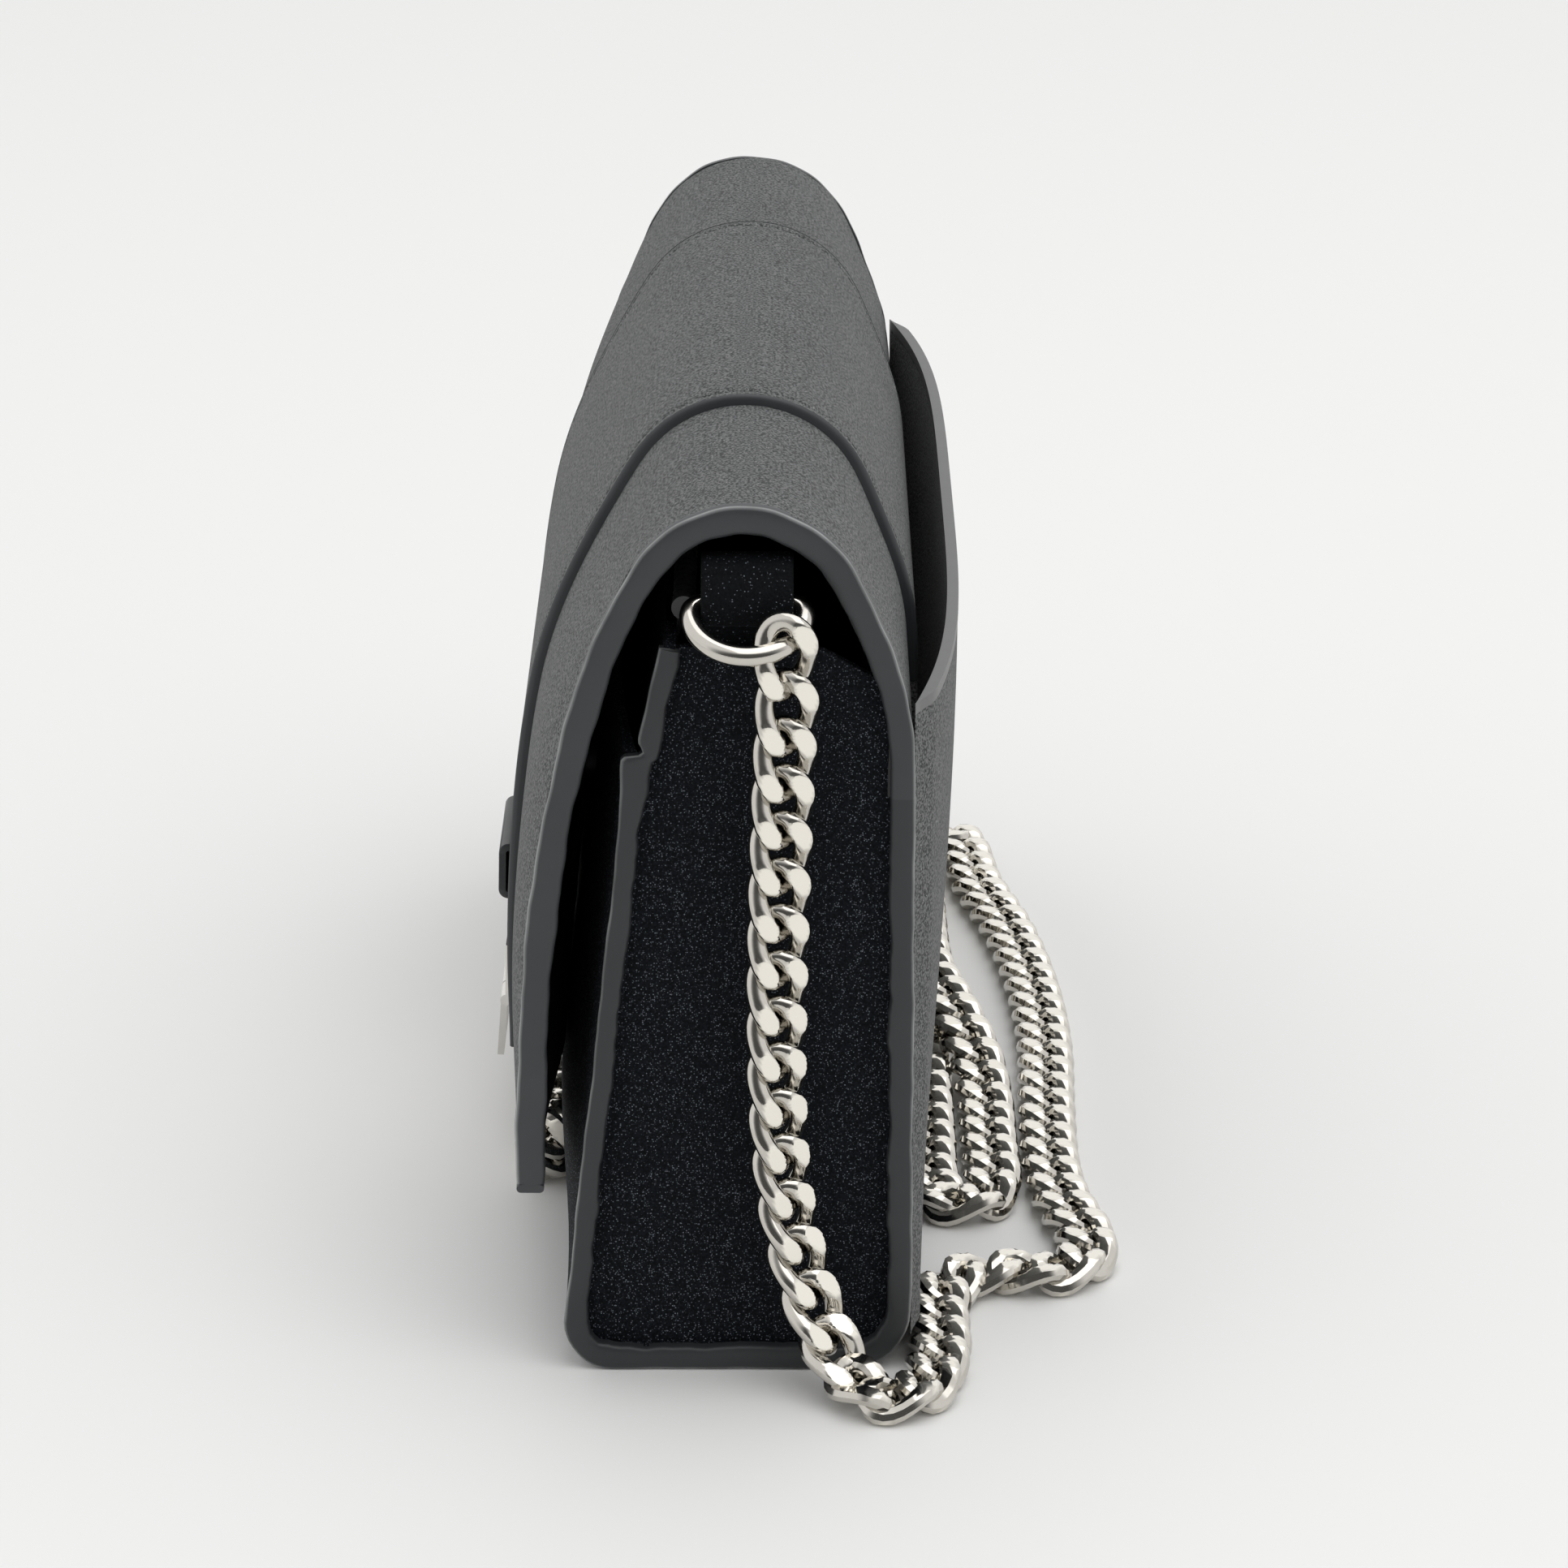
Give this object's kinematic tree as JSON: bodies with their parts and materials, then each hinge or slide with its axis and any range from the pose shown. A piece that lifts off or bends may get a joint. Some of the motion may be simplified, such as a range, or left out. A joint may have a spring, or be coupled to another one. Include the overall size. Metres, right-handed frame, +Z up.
{
  "type": "evening bag",
  "caption": "Small flap shoulder bag with a centre band, slip pockets, zipped compartment, flip clasp and a curb chain strap on rings.",
  "frame": {"origin": "middle of the base, on the floor that the bag stands on", "axes": "+X along the bag's length, -Y towards the flap's front, +Z up"},
  "size_m": [0.2648, 0.0974, 0.1294],
  "materials": {
    "shimmer_leather": "fine sparkling suede nap, charcoal grey",
    "shimmer_dark": "fine sparkling suede nap, near black",
    "painted_edge": "satin painted edge",
    "flap_underside": "smooth matt",
    "lining_cloth": "plain weave",
    "board": "pressed fibre",
    "zip_tape": "woven tape",
    "zip_coil": "nylon coil",
    "nickel_chain": "polished warm nickel",
    "nickel_hardware": "polished nickel"
  },
  "bodies": {
    "body": {"front_wall": "shimmer_dark", "back_wall": "shimmer_dark", "base_panel": "shimmer_dark", "right_gusset": "shimmer_dark", "left_gusset": "shimmer_dark", "right_body_edge": "painted_edge", "left_body_edge": "painted_edge", "front_pocket_panel": "shimmer_dark", "back_pocket_panel": "shimmer_leather", "back_pocket_edge": "painted_edge", "base_board": "board", "body_lining": "lining_cloth", "inner_pocket": "lining_cloth", "band_tail": "shimmer_leather", "body_snap": "nickel_hardware", "front_zip_tape": "zip_tape", "back_zip_tape": "zip_tape", "front_zip_coil": "zip_coil", "back_zip_coil": "zip_coil", "zip_stops": "zip_coil", "right_ring_tab": "shimmer_dark", "left_ring_tab": "shimmer_dark", "chain_right_hang": "nickel_chain", "chain_floor": "nickel_chain", "chain_left_hang": "nickel_chain"},
    "flap": {"flap_fold": "shimmer_leather", "flap_panel": "shimmer_leather", "flap_lining": "flap_underside", "right_flap_edge": "painted_edge", "left_flap_edge": "painted_edge", "flap_front_edge": "painted_edge", "flap_band": "shimmer_leather", "band_loop": "shimmer_leather", "flap_snap": "nickel_hardware", "clasp_plate": "nickel_hardware", "clasp_pin": "nickel_hardware"},
    "lever": {"clasp_lever": "nickel_hardware"},
    "right_hanger": {"right_ring": "nickel_chain", "right_end_link": "nickel_chain"},
    "left_hanger": {"left_ring": "nickel_chain", "left_end_link": "nickel_chain"},
    "slider": {"zip_slider": "nickel_hardware"},
    "pull": {"zip_pull": "nickel_hardware"}
  },
  "joints": [
    {"name": "flap_hinge", "type": "hinge", "parent": "body", "child": "flap", "pos_m": [0, 0.0226, 0.1074], "axis": [-1, 0, 0], "range_deg": [0, 135]},
    {"name": "lever_flip", "type": "hinge", "parent": "flap", "child": "lever", "pos_m": [0, -0.03553, 0.02716], "axis": [-1, 0, 0], "range_deg": [0, 80]},
    {"name": "right_ring_swing", "type": "hinge", "parent": "body", "child": "right_hanger", "pos_m": [0.104, 0.002, 0.114], "axis": [0, -1, 0], "range_deg": [0, 60]},
    {"name": "left_ring_swing", "type": "hinge", "parent": "body", "child": "left_hanger", "pos_m": [-0.104, 0.002, 0.114], "axis": [0, 1, 0], "range_deg": [0, 60]},
    {"name": "zip_slide", "type": "slide", "parent": "body", "child": "slider", "axis": [1, 0, 0], "range_m": [0, 0.172]},
    {"name": "pull_lift", "type": "hinge", "parent": "slider", "child": "pull", "pos_m": [-0.086, -0.00599, 0.11488], "axis": [0, -1, 0], "range_deg": [0, 10]}
  ]
}
